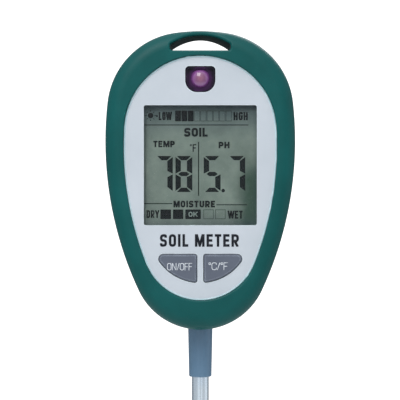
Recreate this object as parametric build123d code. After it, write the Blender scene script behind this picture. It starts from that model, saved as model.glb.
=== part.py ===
from build123d import *
import os
from math import asin, cos, radians, sin, sqrt

# Hand-held soil meter: an egg-shaped head in two halves, with a display, a light sensor and two
# buttons in front and a battery door behind, on a long metal probe.
# Millimetres. +X is the right side seen from the front, the front faces -Y and +Z is up.
# The origin is on the probe's axis, where the probe leaves the lower rim of its collar.

os.makedirs("parts", exist_ok=True)

# ---- driving dimensions ----

# Egg outlines: top height, then each arc's radius and the direction, in degrees, where it ends.
# The closing arc at the bottom follows from the others.
HEAD = dict(top=120.65, crown=(61.5, 81.6), shoulder=(27.3, 6.3), side=(121.8, -25.15))
PLATE = dict(top=111.85, crown=(26.5, 81.1), shoulder=(26.1, 3.65), side=(108.3, -21.8))

RIM_Y = -15.5            # crest of the front rim
BACK_Y = 20.5            # flat of the back
BACK_FLAT = (34.0, 84.0) # heights between which the back is flat
BACK_TOP_R = 62.0        # the back curves forward above the flat
BACK_LOW_R = 22.0        # and below it
SPARE = 3.0              # how far the side outline runs past the egg
RIM_R = 5.0              # rounding round the front
HEEL_R = 8.0             # rounding round the back
WALL = 2.2
SEAM_W = 0.4             # groove where the halves meet, at y = 0
SEAM_D = 0.35

PLATE_Y = -14.5          # front of the face plate
PLATE_BACK_Y = -12.3
PLATE_GAP = 0.05
PLATE_BEVEL = 0.5
MOUTH_R = 0.55           # rounding of the rim where it meets the plate
LEDGE_Y = -10.8          # back of the ledge that carries the face plate
LEDGE_W = 1.8

WINDOW_W = 38.9
WINDOW_Z = (53.5, 94.8)
WINDOW_R = 0.7
LENS_Y = -14.2
LENS_LIP = 1.1

SENSOR_HALF = 5.1        # the sensor window, with two large and two small corners
SENSOR_Z = (99.35, 108.15)
SENSOR_LOW_R = 4.0
SENSOR_TOP_R = 1.3
CUP_Y = -14.35
CUP_RIM = 0.75
CUP_FLOOR_Y = -13.3
CUP_BACK_Y = -11.5
DOME_Z = 104.05
DOME_R = 3.25
DOME_H = 1.9
DOME_FOOT = 0.5
DIODE = (4.6, 4.0, -11.3, -9.3)      # width, height, front and back

KEY_TOP = 43.5
KEY_IN = 1.2             # inner edge of each button
KEY_ARC_R = 17.2         # lower edge of both buttons
KEY_ARC_Z = 51.05
KEY_OUTER_R = 1.6
KEY_INNER_R = 0.7
KEY_Y = -15.0
KEY_BEVEL = 0.45
KEY_GAP = 0.22
KEY_FLANGE = 0.8
KEY_TRAVEL = 0.8
KEY_AT = (6.5, 39.6)     # middle of a button's stem
STEM_R = 2.0
STEM_END_Y = -7.4
DOME_WALL = 0.6          # rubber dome under each button
DOME_NECK_R = (2.1, 1.6)             # outside and inside, at the stem
DOME_SKIRT_R = (3.3, 2.7)            # and at the board
PILL_R = 1.4
PILL_T = 0.5
PAD = (25.0, 8.4, 1.5, 0.8)          # key pad's width, height, corner and thickness
FLANGE_Y = (-12.2, -11.4)

SLOT_HALF = 10.45        # hanging slot
SLOT_Z = (113.6, 115.7, 119.0)
SLOT_CORNER_R = 0.9
SLOT_WALL = 1.8
SLOT_EDGE_R = 0.7

BOARD_Y = (-5.0, -3.4)
BOARD_Z = (31.0, 103.0)
BOARD_INSET = 3.4
BOARD_POSTS = ((24.2, 100.0), (21.2, 46.5))
BOARD_POST_R = 2.2
CASE_POSTS = ((20.8, 107.0), (13.3, 27.3))
CASE_POST_R = 2.8
POST_ROOT = 0.5          # how far the posts run into the front wall
PILOT_SPARE = (2.0, 0.4) # how far the pilot holes run past the case and the board screws
SCREW_POST_R = 4.2
SCREW_SEAT_Y = 7.0
SCREW_BORE_R = 2.9
SCREW_CLEAR_R = 1.6
SCREW_PILOT_R = 1.25
SCREW_SHANK_R = 1.2
SCREW_HEAD = (2.6, 1.8, 0.7)         # radius, height and rounding
SCREW_END_Y = -6.8
CROSS = (3.0, 0.7, 1.0)              # the recess: length, width and depth
BOARD_HOLE_R = 1.15
BOARD_PILOT_R = 1.0
BOARD_SCREW = (2.0, 1.3, 0.5)
BOARD_SHANK_R = 0.95
BOARD_SCREW_END_Y = -9.2

BATTERY = (26.0, 16.8, 46.0)
BATTERY_Y = 1.1
BATTERY_Z = 36.5
BATTERY_R = 2.0
STUD_H = 2.5
STUD_X = 6.35
STUD_R = (2.85, 3.6)     # the small and the large stud
SNAP = (12.5, 4.6, 0.3)  # half width, height and gap over the battery
SNAP_Y = (4.0, 13.5)
LEAD_X = 3.0
LEAD_R = 0.55

WELL_HALF = 13.6         # battery well
WELL_Z = (33.2, 88.2)
WELL_FLOOR_Y = 1.0
WELL_WALL = 1.3
WELL_FOOT = 2.9          # the thick wall under the well, for the hooks
LEAD_NOTCH = (6.0, 85.2)             # way out of the well for the battery's leads
DOOR_HALF = 14.8
DOOR_Z = (34.0, 89.0)
DOOR_IN_Y = 19.0
DOOR_GAP = 0.25
HOOK_X = (6.0, 10.5)
HOOK_Z = (32.2, 35.5)
HOOK_Y = (17.4, 18.7)
HOOK_CLEAR = 0.4
HOOK_ROOM = (0.7, 0.15, 0.5)         # in front of the hooks, behind them and below
LATCH_HALF = 5.0
LATCH_Z = (86.6, 90.4)
LATCH_T = 1.0
LATCH_Y = (13.8, 19.9)
NOSE_Y = (17.3, 18.4)
NOSE_H = 0.7
POCKET_WALL = (2.0, 2.3, 2.6)        # beside the latch pocket, in front and above
LATCH_ROOM = (0.6, 0.8, 0.4)         # round the latch: beside, in front and above
NOSE_ROOM = (0.3, 0.4, 0.6)          # round its nose: in front, behind and above
SCOOP_R = 7.0            # finger scoop above the latch
SCOOP_OUT = 5.6
SCOOP_UP = 2.6
FOAM = (8.0, 42.0, 78.0)

TUBE_R = 3.0
TUBE_WALL = 0.4
NECK_R = 2.75            # the tube's radius inside the collar
TUBE_Z = (-176.0, 25.5)
RING_Z = (-179.0, -176.0)
POINT_Z = (-200.0, -192.0)
COLLAR_LOW_R = 3.95
COLLAR_R = 4.3
COLLAR_TAPER_Z = 16.6
COLLAR_TOP = 24.5
COLLAR_FLANGE = (6.0, 20.5, 22.5)
COLLAR_RIM_R = 0.5
COLLAR_ROOM = 3.0        # room for the wires above the collar
CRADLE = (7.6, 17.0, 26.0)           # blocks that hold the collar: half width and heights
CRADLE_Y = 8.0
CRADLE_FIT = 0.1
SPIGOT_R = 1.6           # inside the point
SPIGOT = 4.0
PLUG = 5.0               # inside the tube
RING_BORE_R = 0.5
POINT_END_R = 0.5
WIRE_R = 0.4
WIRE_BEND = 0.7
THERMISTOR_AT = (0.0, 1.6, -168.0)
THERMISTOR = (0.9, 3.0)  # radius and length
THERMISTOR_LEG = 0.75

# The display stack, from the front: y of each face
LCD_FRONT_Y = (-12.1, -11.2)
LCD_REAR_Y = (-11.2, -10.3)
LCD_FOIL_Y = (-10.3, -10.0)
LCD_FRONT_BOX = (40.4, 52.5, 95.8)
LCD_REAR_BOX = (40.4, 55.0, 93.3)
ZEBRA_Z = ((52.7, 54.3), (94.0, 95.6))
ZEBRA_HALF = 17.0
ZEBRA_FIT = (0.2, 0.1)   # the slots' gap at a strip's ends and sides
LCD_FRAME = (22.0, 50.7, 97.6)       # half width, low and high edges
LCD_FRAME_SEAT = (20.5, 52.4, 95.9)  # where the glass sits
LCD_FRAME_HOLE = (18.8, 56.2, 92.1)
LCD_FRAME_Y = -10.6

# Parts on the board
LEG_X = 1.27             # the photodiode's legs
LEG_BEND = 2.1
LEG_R = 0.25
RESIN_Z = 74.0           # resin over the processor
RESIN_BALL_R = 12.0
RESIN_R = 5.0
CHIP_X = (-12.4, -3.6)
CHIP_Z = (50.0, 54.0)
CHIP_Y = (0.1, 1.6)      # above the board
CHIP_FOOT = (0.2, 0.5, 1.0)          # half width, height and how far out it stands
CHIP_PITCH = 1.27
CHIP_FEET = 7
CRYSTAL_AT = (9.0, 52.0)
CRYSTAL = (10.5, 4.2, 2.0, 2.6)      # length, width, corner and height
CAPS_AT = ((-19.0, 60.0), (19.0, 60.0), (19.0, 67.0))
CAP = (2.4, 5.4, 0.4)    # radius, height and rounding
RESISTOR = (1.6, 0.5, 0.8)
RESISTOR_X = -9.0
RESISTOR_STEP = 6.0
RESISTOR_ROWS = (60.0, 63.0, 66.0)
RESISTOR_COLUMNS = 4


HALF_SPACE = 50.0        # wider than half of the head
OVER = 130.0             # higher than the head
NEAR = 0.01              # two places this close are the same


# ---- shared shapes ----

def slab(outline, front, back):
    """An outline drawn in X and Z, made solid from y = front to y = back."""
    return extrude(Plane.XZ.offset(-front) * outline, front - back)


def block(xs, ys, zs):
    """A box from its three ranges."""
    size = [b - a for a, b in (xs, ys, zs)]
    middle = [(a + b) / 2 for a, b in (xs, ys, zs)]
    return Pos(*middle) * Box(*size)


def rod(x, z, radius, front, back):
    """A round rod along Y."""
    return slab(Pos(x, z) * Circle(radius), front, back)


def egg(shape, grow=0.0):
    """An egg outline of tangent arcs, grown or, below zero, shrunk evenly all round."""
    def towards(angle):
        return Vector(cos(radians(angle)), sin(radians(angle)))

    crown_r, crown_end = shape["crown"]
    shoulder_r, shoulder_end = shape["shoulder"]
    side_r, side_end = shape["side"]
    crown = Vector(0, shape["top"] - crown_r)
    shoulder = crown + towards(crown_end) * (crown_r - shoulder_r)
    side = shoulder + towards(shoulder_end) * (shoulder_r - side_r)
    base_r = side_r + side.X / towards(side_end).X
    base = side + towards(side_end) * (side_r - base_r)

    def arc(centre, radius, start, end):
        at = [centre + towards(a) * (radius + grow) for a in (start, (start + end) / 2, end)]
        return ThreePointArc(*at)

    right = [
        arc(shoulder, shoulder_r, crown_end, shoulder_end),
        arc(side, side_r, shoulder_end, side_end),
    ]
    left = [mirror(edge, Plane.YZ) for edge in right]
    crown_arc = arc(crown, crown_r, 180 - crown_end, crown_end)
    base_arc = arc(base, base_r, side_end, -180 - side_end)
    return make_face([crown_arc, *right, base_arc, *left])


def side_profile(inset):
    """The head from the side, in Y and Z, cut off square above and below the egg."""
    back = BACK_Y - inset
    top_r = BACK_TOP_R - inset
    low_r = BACK_LOW_R - inset
    low, high = BACK_FLAT
    over = HEAD["top"] + SPARE
    under = max(low - BACK_LOW_R + 1, low - low_r)
    top_y = back - top_r + sqrt(top_r**2 - (over - high) ** 2)
    low_y = back - low_r + sqrt(low_r**2 - (low - under) ** 2)
    outline = [
        Line((RIM_Y, under), (RIM_Y, over)),
        Line((RIM_Y, over), (top_y, over)),
        TangentArc((back, high), (top_y, over), tangent=(0, 1)),
        Line((back, high), (back, low)),
        TangentArc((back, low), (low_y, under), tangent=(0, -1)),
        Line((low_y, under), (RIM_Y, under)),
    ]
    return make_face(outline)


def head_form(inset=0.0):
    """The head as one solid, or its inside when inset by the wall."""
    profile = extrude(Plane.YZ * side_profile(inset), HALF_SPACE, both=True)
    form = slab(egg(HEAD, -inset), RIM_Y, BACK_Y + 1) & profile
    straight = form.edges().filter_by(Axis.X) + form.edges().filter_by(Axis.Y)
    edges = [e for e in form.edges() if e.center().Y > RIM_Y + NEAR and e not in straight]
    form = fillet(edges, HEEL_R - inset)
    if inset == 0.0:
        form = fillet(form.faces().sort_by(Axis.Y)[0].edges(), RIM_R)
    return form


def slot_outline(grow=0.0):
    """The hanging slot: flat below and arched above, with rounded corners."""
    low, shoulder, top = SLOT_Z
    edges = [
        ThreePointArc((-SLOT_HALF, shoulder), (0, top), (SLOT_HALF, shoulder)),
        Line((SLOT_HALF, shoulder), (SLOT_HALF, low)),
        Line((SLOT_HALF, low), (-SLOT_HALF, low)),
        Line((-SLOT_HALF, low), (-SLOT_HALF, shoulder)),
    ]
    face = fillet(make_face(edges).vertices(), SLOT_CORNER_R)
    return offset(face, grow) if grow else face


def window_outline(grow=0.0):
    low, high = WINDOW_Z
    return Pos(0, (low + high) / 2) * RectangleRounded(
        WINDOW_W + 2 * grow, high - low + 2 * grow, WINDOW_R + max(grow, 0)
    )


def sensor_outline(grow=0.0):
    """The light sensor's window: two large corners below and two small ones above."""
    half = SENSOR_HALF + grow
    low = SENSOR_Z[0] - grow
    high = SENSOR_Z[1] + grow
    low_r = SENSOR_LOW_R + grow
    top_r = SENSOR_TOP_R + grow
    edges = [
        Line((low_r - half, low), (half - low_r, low)),
        TangentArc((half - low_r, low), (half, low + low_r), tangent=(1, 0)),
        Line((half, low + low_r), (half, high - top_r)),
        TangentArc((half, high - top_r), (half - top_r, high), tangent=(0, 1)),
        Line((half - top_r, high), (top_r - half, high)),
        TangentArc((top_r - half, high), (-half, high - top_r), tangent=(-1, 0)),
        Line((-half, high - top_r), (-half, low + low_r)),
        TangentArc((-half, low + low_r), (low_r - half, low), tangent=(0, -1)),
    ]
    return make_face(edges)


def key_outline(side, grow=0.0):
    """A button's outline: side is 1 for the right button and -1 for the left one."""
    radius = KEY_ARC_R + grow
    corner = Pos(KEY_IN - grow + radius, KEY_TOP + grow - radius) * Rectangle(2 * radius, 2 * radius)
    face = corner & (Pos(0, KEY_ARC_Z) * Circle(radius))
    outer = face.vertices().sort_by(Axis.X)[-1]
    face = fillet(outer, KEY_OUTER_R + grow)
    inner = face.vertices().sort_by(Axis.X)[:2]
    face = fillet(inner, KEY_INNER_R + grow)
    return face if side > 0 else mirror(face, Plane.YZ)


def both_sides(points):
    return [(side * x, z) for x, z in points for side in (-1, 1)]


def collar_form(grow=0.0):
    """The collar's outside, tapered below the head and with a flange inside it."""
    radius, low, high = COLLAR_FLANGE
    taper = Pos(0, 0, COLLAR_TAPER_Z / 2) * Cone(COLLAR_LOW_R + grow, COLLAR_R + grow, COLLAR_TAPER_Z)
    height = COLLAR_TOP - COLLAR_TAPER_Z
    neck = Pos(0, 0, COLLAR_TAPER_Z + height / 2) * Cylinder(COLLAR_R + grow, height)
    flange = Pos(0, 0, (low + high) / 2) * Cylinder(radius + grow, high - low + 2 * grow)
    return taper + neck + flange


def collar_seat():
    """What the halves are hollowed by to hold the collar, with room above it for the wires."""
    return collar_form(CRADLE_FIT) + Pos(0, 0, COLLAR_TOP) * Cylinder(COLLAR_R + CRADLE_FIT, 2 * COLLAR_ROOM)


def wire(points, radius, wire_r):
    """A wire that follows straight runs joined by arcs."""
    path = FilletPolyline(*points, radius=radius) if len(points) > 2 else Line(*points)
    start = Plane(origin=path @ 0, z_dir=path % 0)
    return sweep(start * Circle(wire_r), path=path)


def save(name, shape):
    export_step(shape, os.path.join("parts", name + ".step"))


# ---- case ----

def cradle_block(front, back):
    half, low, high = CRADLE
    return block((-half, half), (front, back), (low, high))


def make_front_shell(head):
    shell = head & block((-HALF_SPACE, HALF_SPACE), (RIM_Y - 1, 0), (0, OVER))
    shell -= slab(egg(HEAD, -WALL), LEDGE_Y, 0)
    shell -= slab(egg(PLATE, PLATE_GAP), RIM_Y - 1, PLATE_BACK_Y)
    shell -= slab(egg(PLATE, -LEDGE_W), PLATE_BACK_Y, LEDGE_Y)
    mouth = shell.edges().filter_by(
        lambda e: abs(e.center().Y - RIM_Y) < NEAR and e.bounding_box().size.Y < NEAR
    )
    shell = fillet(mouth, MOUTH_R)
    shell += slab(slot_outline(SLOT_WALL), LEDGE_Y - 1, 0)
    shell += cradle_block(-CRADLE_Y, 0)
    post_y = LEDGE_Y - POST_ROOT
    for x, z in both_sides(CASE_POSTS):
        shell += rod(x, z, CASE_POST_R, post_y, 0)
    for x, z in both_sides(BOARD_POSTS):
        shell += rod(x, z, BOARD_POST_R, post_y, BOARD_Y[0])
    shell &= head
    for x, z in both_sides(CASE_POSTS):
        shell -= rod(x, z, SCREW_PILOT_R, SCREW_END_Y - PILOT_SPARE[0], 0)
    for x, z in both_sides(BOARD_POSTS):
        shell -= rod(x, z, BOARD_PILOT_R, BOARD_SCREW_END_Y - PILOT_SPARE[1], BOARD_Y[0])
    shell -= collar_seat()
    shell -= slab(slot_outline(), RIM_Y - 1, 1)
    return soften_slot(shell, front=True)


def soften_slot(shell, front):
    """Rounds the slot's edge where it meets the outside."""
    low, _, top = SLOT_Z
    edges = []
    for e in shell.edges():
        box = e.bounding_box()
        in_x = abs(e.center().X) < SLOT_HALF + 0.1
        in_z = low - 0.1 < box.min.Z and box.max.Z < top + 0.1
        outside = box.max.Y < LEDGE_Y if front else box.min.Y > 2
        level = box.size.Y < max(1.0, 0.5 * box.size.X, 0.5 * box.size.Z)
        if in_x and in_z and outside and level:
            edges.append(e)
    return fillet(edges, SLOT_EDGE_R)


def make_rear_shell(head):
    everywhere = (-HALF_SPACE, HALF_SPACE)
    shell = head & block(everywhere, (0, BACK_Y + 1), (0, OVER))
    shell -= head_form(WALL) & block(everywhere, (-1, BACK_Y), (0, OVER))
    low, high = WELL_Z
    well_out = WELL_HALF + WELL_WALL
    shell += block((-well_out, well_out), (0, BACK_Y), (low - WELL_FOOT, high + WELL_WALL - 0.1))
    beside, before, above = POCKET_WALL
    pocket_out = LATCH_HALF + beside
    pocket_y = (LATCH_Y[0] - before, BACK_Y)
    shell += block((-pocket_out, pocket_out), pocket_y, (high, LATCH_Z[1] + above))
    shell += slab(slot_outline(SLOT_WALL), 0, BACK_Y)
    shell += cradle_block(0, CRADLE_Y)
    for x, z in both_sides(CASE_POSTS):
        shell += rod(x, z, SCREW_POST_R, 0, BACK_Y)
    shell &= head
    for x, z in both_sides(CASE_POSTS):
        shell -= rod(x, z, SCREW_CLEAR_R, 0, BACK_Y)
        shell -= rod(x, z, SCREW_BORE_R, SCREW_SEAT_Y, BACK_Y)
    shell -= block((-WELL_HALF, WELL_HALF), (WELL_FLOOR_Y, BACK_Y + 1), WELL_Z)
    seat_x = DOOR_HALF + DOOR_GAP
    seat_z = (DOOR_Z[0] - DOOR_GAP, DOOR_Z[1] + DOOR_GAP)
    shell -= block((-seat_x, seat_x), (DOOR_IN_Y, BACK_Y + 1), seat_z)
    before, behind, below = HOOK_ROOM
    hook_y = (HOOK_Y[0] - before, HOOK_Y[1] + behind)
    for side in (-1, 1):
        xs = sorted((side * (HOOK_X[0] - HOOK_CLEAR), side * (HOOK_X[1] + HOOK_CLEAR)))
        shell -= block(xs, hook_y, (HOOK_Z[0] - below, low + 1))
    shell -= latch_pocket()
    scoop = Pos(0, BACK_Y + SCOOP_OUT, LATCH_Z[1] + SCOOP_UP) * Sphere(SCOOP_R)
    shell -= scoop & block((-SCOOP_R, SCOOP_R), (BACK_Y - 2, BACK_Y + 2), (LATCH_Z[1], OVER))
    notch_x, notch_z = LEAD_NOTCH
    shell -= block((-notch_x, notch_x), (-1, WELL_FLOOR_Y + 1), (notch_z, high))
    shell -= collar_seat()
    shell -= slab(slot_outline(), -1, BACK_Y + 1)
    shell -= slab(egg(HEAD, 1.0) - egg(HEAD, -SEAM_D), 0, SEAM_W)
    return soften_slot(shell, front=False)


def latch_pocket():
    """Room for the latch to spring, and the undercut that its nose catches in."""
    beside, before, above = LATCH_ROOM
    half = LATCH_HALF + beside
    low = WELL_Z[1] - 1
    room = block((-half, half), (LATCH_Y[0] - before, BACK_Y + 1), (low, LATCH_Z[1] + above))
    before, behind, above = NOSE_ROOM
    nose_y = (NOSE_Y[0] - before, NOSE_Y[1] + behind)
    return room + block((-half, half), nose_y, (low, LATCH_Z[1] + NOSE_H + above))


def pan_screw(x, z, seat, head, shank_r, end):
    """A screw along Y whose rounded head stands behind its seat."""
    radius, height, rounding = head
    screw = rod(x, z, radius, seat, seat + height)
    screw = fillet(screw.faces().sort_by(Axis.Y)[-1].edges(), rounding)
    return screw + rod(x, z, shank_r, end, seat)


def cross_recess(x, z, top):
    long_side, short_side, depth = CROSS
    cross = Rectangle(long_side, short_side) + Rectangle(short_side, long_side)
    return slab(Pos(x, z) * cross, top - depth, top + 1)


def make_case_screws():
    """Four pan-head screws, each with a cross recess."""
    top = SCREW_SEAT_Y + SCREW_HEAD[1]
    screws = []
    for x, z in both_sides(CASE_POSTS):
        screw = pan_screw(x, z, SCREW_SEAT_Y, SCREW_HEAD, SCREW_SHANK_R, SCREW_END_Y)
        screws.append(screw - cross_recess(x, z, top))
    return Compound(children=screws)


def make_face_plate():
    plate = slab(egg(PLATE), PLATE_Y, PLATE_BACK_Y)
    plate = chamfer(plate.faces().sort_by(Axis.Y)[0].edges(), PLATE_BEVEL)
    plate -= slab(window_outline(), PLATE_Y - 1, PLATE_BACK_Y)
    plate -= slab(window_outline(LENS_LIP), PLATE_BACK_Y - 1.0, PLATE_BACK_Y)
    plate -= slab(sensor_outline(0.1), PLATE_Y - 1, PLATE_BACK_Y)
    for side in (-1, 1):
        plate -= slab(key_outline(side, KEY_GAP), PLATE_Y - 1, PLATE_BACK_Y)
    return plate


def make_display_window():
    lens = slab(window_outline(-0.08), LENS_Y, PLATE_BACK_Y)
    lens = chamfer(lens.faces().sort_by(Axis.Y)[0].edges(), 0.2)
    return lens + slab(window_outline(LENS_LIP - 0.1), PLATE_BACK_Y - 0.95, PLATE_BACK_Y)


# ---- light sensor ----

def make_light_sensor_window():
    """A D-shaped tinted cup with a sunken floor that the dome sits in."""
    cup = slab(sensor_outline(), CUP_Y, CUP_BACK_Y)
    cup = chamfer(cup.faces().sort_by(Axis.Y)[0].edges(), 0.2)
    cup += slab(sensor_outline(0.9), PLATE_BACK_Y, CUP_BACK_Y)
    cup -= slab(sensor_outline(-CUP_RIM), CUP_Y - 1, CUP_FLOOR_Y)
    return cup - rod(0, DOME_Z, DOME_R, CUP_FLOOR_Y - 1, CUP_FLOOR_Y + DOME_FOOT)


def make_light_sensor_dome():
    """A domed lens: a short foot under a spherical cap."""
    cap_r = (DOME_R**2 + DOME_H**2) / (2 * DOME_H)
    ball = Pos(0, CUP_FLOOR_Y - DOME_H + cap_r, DOME_Z) * Sphere(cap_r)
    cap = ball & rod(0, DOME_Z, DOME_R, CUP_FLOOR_Y - DOME_H - 1, CUP_FLOOR_Y)
    return cap + rod(0, DOME_Z, DOME_R, CUP_FLOOR_Y, CUP_FLOOR_Y + DOME_FOOT)


def make_photodiode():
    width, height, front, back = DIODE
    return block((-width / 2, width / 2), (front, back), (DOME_Z - height / 2, DOME_Z + height / 2))


def make_photodiode_legs():
    """Two legs, bent down from the photodiode to holes near the board's top edge."""
    back = DIODE[3]
    bend = back + LEG_BEND
    low = BOARD_Z[1] - 1.6
    legs = []
    for x in (-LEG_X, LEG_X):
        points = [(x, back, DOME_Z), (x, bend, DOME_Z), (x, bend, low), (x, BOARD_Y[0], low)]
        legs.append(wire(points, 0.8, LEG_R))
    return Compound(children=legs)


# ---- buttons ----

def make_button(side):
    """A key cap with a bevelled front, a flange behind the plate and a stem to its dome."""
    cap = slab(key_outline(side), KEY_Y, FLANGE_Y[0])
    cap = chamfer(cap.faces().sort_by(Axis.Y)[0].edges(), KEY_BEVEL)
    cap += slab(key_outline(side, KEY_FLANGE), *FLANGE_Y)
    x, z = KEY_AT
    return cap + rod(side * x, z, STEM_R, FLANGE_Y[1], STEM_END_Y)


def make_key_dome(side):
    """A rubber cone that closes when the button goes in."""
    x, z = KEY_AT
    foot = BOARD_Y[0]
    top = STEM_END_Y
    inside = top + DOME_WALL
    neck_out, neck_in = DOME_NECK_R
    out, skirt_in = DOME_SKIRT_R
    skirt = [(neck_out, top), (out, foot - PAD[3]), (out, foot), (skirt_in, foot), (neck_in, inside)]
    profile = make_face(Polyline((0, top), *skirt, (0, inside), close=True))
    dome = revolve(profile, Axis.Y)
    return Pos(side * x, 0, z) * dome


def make_key_pill(side):
    x, z = KEY_AT
    front = STEM_END_Y + DOME_WALL
    return rod(side * x, z, PILL_R, front, front + PILL_T)


def make_key_pad():
    x, z = KEY_AT
    width, height, corner, thick = PAD
    pad = slab(Pos(0, z) * RectangleRounded(width, height, corner), BOARD_Y[0] - thick, BOARD_Y[0])
    for side in (-1, 1):
        pad -= rod(side * x, z, DOME_SKIRT_R[0], BOARD_Y[0] - 1, BOARD_Y[0])
    return pad


# ---- display ----

def lcd_sheet(width_and_z, ys):
    width, low, high = width_and_z
    return block((-width / 2, width / 2), ys, (low, high))


def make_lcd_frame():
    """The frame that holds the display glass off the board, with a slot for each zebra strip."""
    half, low, high = LCD_FRAME
    frame = block((-half, half), (LCD_FRAME_Y, BOARD_Y[0]), (low, high))
    half, low, high = LCD_FRAME_HOLE
    frame -= block((-half, half), (LCD_FRAME_Y - 1, BOARD_Y[0]), (low, high))
    half, low, high = LCD_FRAME_SEAT
    frame -= block((-half, half), (LCD_FRAME_Y - 1, LCD_FOIL_Y[1]), (low, high))
    end, side = ZEBRA_FIT
    half = ZEBRA_HALF + end
    for low, high in ZEBRA_Z:
        frame -= block((-half, half), (LCD_FRAME_Y - 1, BOARD_Y[0]), (low - side, high + side))
    return frame


def make_zebra_strips():
    strips = [block((-ZEBRA_HALF, ZEBRA_HALF), (LCD_FRONT_Y[1], BOARD_Y[0]), zs) for zs in ZEBRA_Z]
    return Compound(children=strips)


# ---- board ----

def make_main_board():
    low, high = BOARD_Z
    board = slab(egg(HEAD, -BOARD_INSET), *BOARD_Y)
    board &= block((-HALF_SPACE, HALF_SPACE), (BOARD_Y[0] - 1, 0), (low, high))
    for x, z in both_sides(BOARD_POSTS):
        board -= rod(x, z, BOARD_HOLE_R, *BOARD_Y)
    return board


def make_board_screws():
    screws = [
        pan_screw(x, z, BOARD_Y[1], BOARD_SCREW, BOARD_SHANK_R, BOARD_SCREW_END_Y)
        for x, z in both_sides(BOARD_POSTS)
    ]
    return Compound(children=screws)


def make_processor_chip():
    """The processor under its blob of black resin, inside the display frame."""
    height = RESIN_BALL_R - sqrt(RESIN_BALL_R**2 - RESIN_R**2)
    ball = Pos(0, BOARD_Y[0] - height + RESIN_BALL_R, RESIN_Z) * Sphere(RESIN_BALL_R)
    return ball & rod(0, RESIN_Z, RESIN_R, BOARD_Y[0] - 3, BOARD_Y[0])


def make_amplifier_chip():
    """A 14-lead chip: body and feet."""
    back = BOARD_Y[1]
    chip = block(CHIP_X, (back + CHIP_Y[0], back + CHIP_Y[1]), CHIP_Z)
    half, height, out = CHIP_FOOT
    first = (CHIP_X[0] + CHIP_X[1] - (CHIP_FEET - 1) * CHIP_PITCH) / 2
    for i in range(CHIP_FEET):
        x = first + CHIP_PITCH * i
        chip += block((x - half, x + half), (back, back + height), (CHIP_Z[0] - out, CHIP_Z[1] + out))
    return chip


def make_crystal_can():
    length, width, corner, height = CRYSTAL
    outline = Pos(*CRYSTAL_AT) * RectangleRounded(length, width, corner)
    return slab(outline, BOARD_Y[1], BOARD_Y[1] + height)


def make_capacitors():
    radius, height, rounding = CAP
    cans = []
    for x, z in CAPS_AT:
        can = rod(x, z, radius, BOARD_Y[1], BOARD_Y[1] + height)
        cans.append(fillet(can.faces().sort_by(Axis.Y)[-1].edges(), rounding))
    return Compound(children=cans)


def make_chip_resistors():
    length, height, width = RESISTOR
    parts = []
    for row, z in enumerate(RESISTOR_ROWS):
        for column in range(RESISTOR_COLUMNS):
            x = RESISTOR_X + RESISTOR_STEP * column + row
            parts.append(block((x, x + length), (BOARD_Y[1], BOARD_Y[1] + height), (z, z + width)))
    return Compound(children=parts)


# ---- battery and its door ----

def make_battery():
    width, depth, height = BATTERY
    xs = (-width / 2, width / 2)
    body = block(xs, (BATTERY_Y, BATTERY_Y + depth), (BATTERY_Z, BATTERY_Z + height))
    return fillet(body.edges().filter_by(Axis.Z), BATTERY_R)


def battery_stud(x, radius, low, high):
    middle = BATTERY_Y + BATTERY[1] / 2
    return Pos(x, middle, (low + high) / 2) * Cylinder(radius, high - low)


def make_battery_terminals():
    low = BATTERY_Z + BATTERY[2]
    return Compound(children=[
        battery_stud(-STUD_X, STUD_R[0], low, low + STUD_H),
        battery_stud(STUD_X, STUD_R[1], low, low + STUD_H),
    ])


def make_battery_snap():
    half, height, gap = SNAP
    low = BATTERY_Z + BATTERY[2] + gap
    snap = block((-half, half), SNAP_Y, (low, low + height))
    snap = fillet(snap.edges().filter_by(Axis.Z), BATTERY_R)
    for x, radius in ((-STUD_X, STUD_R[0]), (STUD_X, STUD_R[1])):
        snap -= battery_stud(x, radius + 0.05, low - 1, low + STUD_H - 0.1)
    return snap


def make_battery_lead(side):
    z = BATTERY_Z + BATTERY[2] + 3.9
    return wire([(side * LEAD_X, SNAP_Y[0], z), (side * LEAD_X, BOARD_Y[1], z)], 0, LEAD_R)


def make_battery_door(head):
    door = head & block((-DOOR_HALF, DOOR_HALF), (DOOR_IN_Y, BACK_Y + 1), DOOR_Z)
    for side in (-1, 1):
        xs = sorted((side * HOOK_X[0], side * HOOK_X[1]))
        door += block(xs, HOOK_Y, HOOK_Z)
        door += block(xs, (HOOK_Y[0], DOOR_IN_Y), (DOOR_Z[0] + 0.3, HOOK_Z[1]))
    return door


def make_door_latch():
    """A springy U at the door's upper edge, with a nose that catches under the shell."""
    xs = (-LATCH_HALF, LATCH_HALF)
    low, high = LATCH_Z
    latch = block(xs, (LATCH_Y[0], DOOR_IN_Y), (low, low + LATCH_T))
    latch += block(xs, (LATCH_Y[0], LATCH_Y[0] + LATCH_T), (low, high))
    latch += block(xs, LATCH_Y, (high - LATCH_T, high))
    latch += block(xs, NOSE_Y, (high - LATCH_T, high + NOSE_H))
    return latch


def make_door_foam():
    back = BATTERY_Y + BATTERY[1]
    half, low, high = FOAM
    return block((-half, half), (back, DOOR_IN_Y), (low, high))


# ---- probe ----

def make_probe_collar():
    collar = collar_form() - Pos(0, 0, COLLAR_TOP / 2) * Cylinder(NECK_R, 2 * COLLAR_TOP)
    rim = collar.edges().filter_by(lambda e: abs(e.center().Z) < NEAR)
    return fillet(rim.sort_by(SortBy.LENGTH)[-1], COLLAR_RIM_R)


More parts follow.
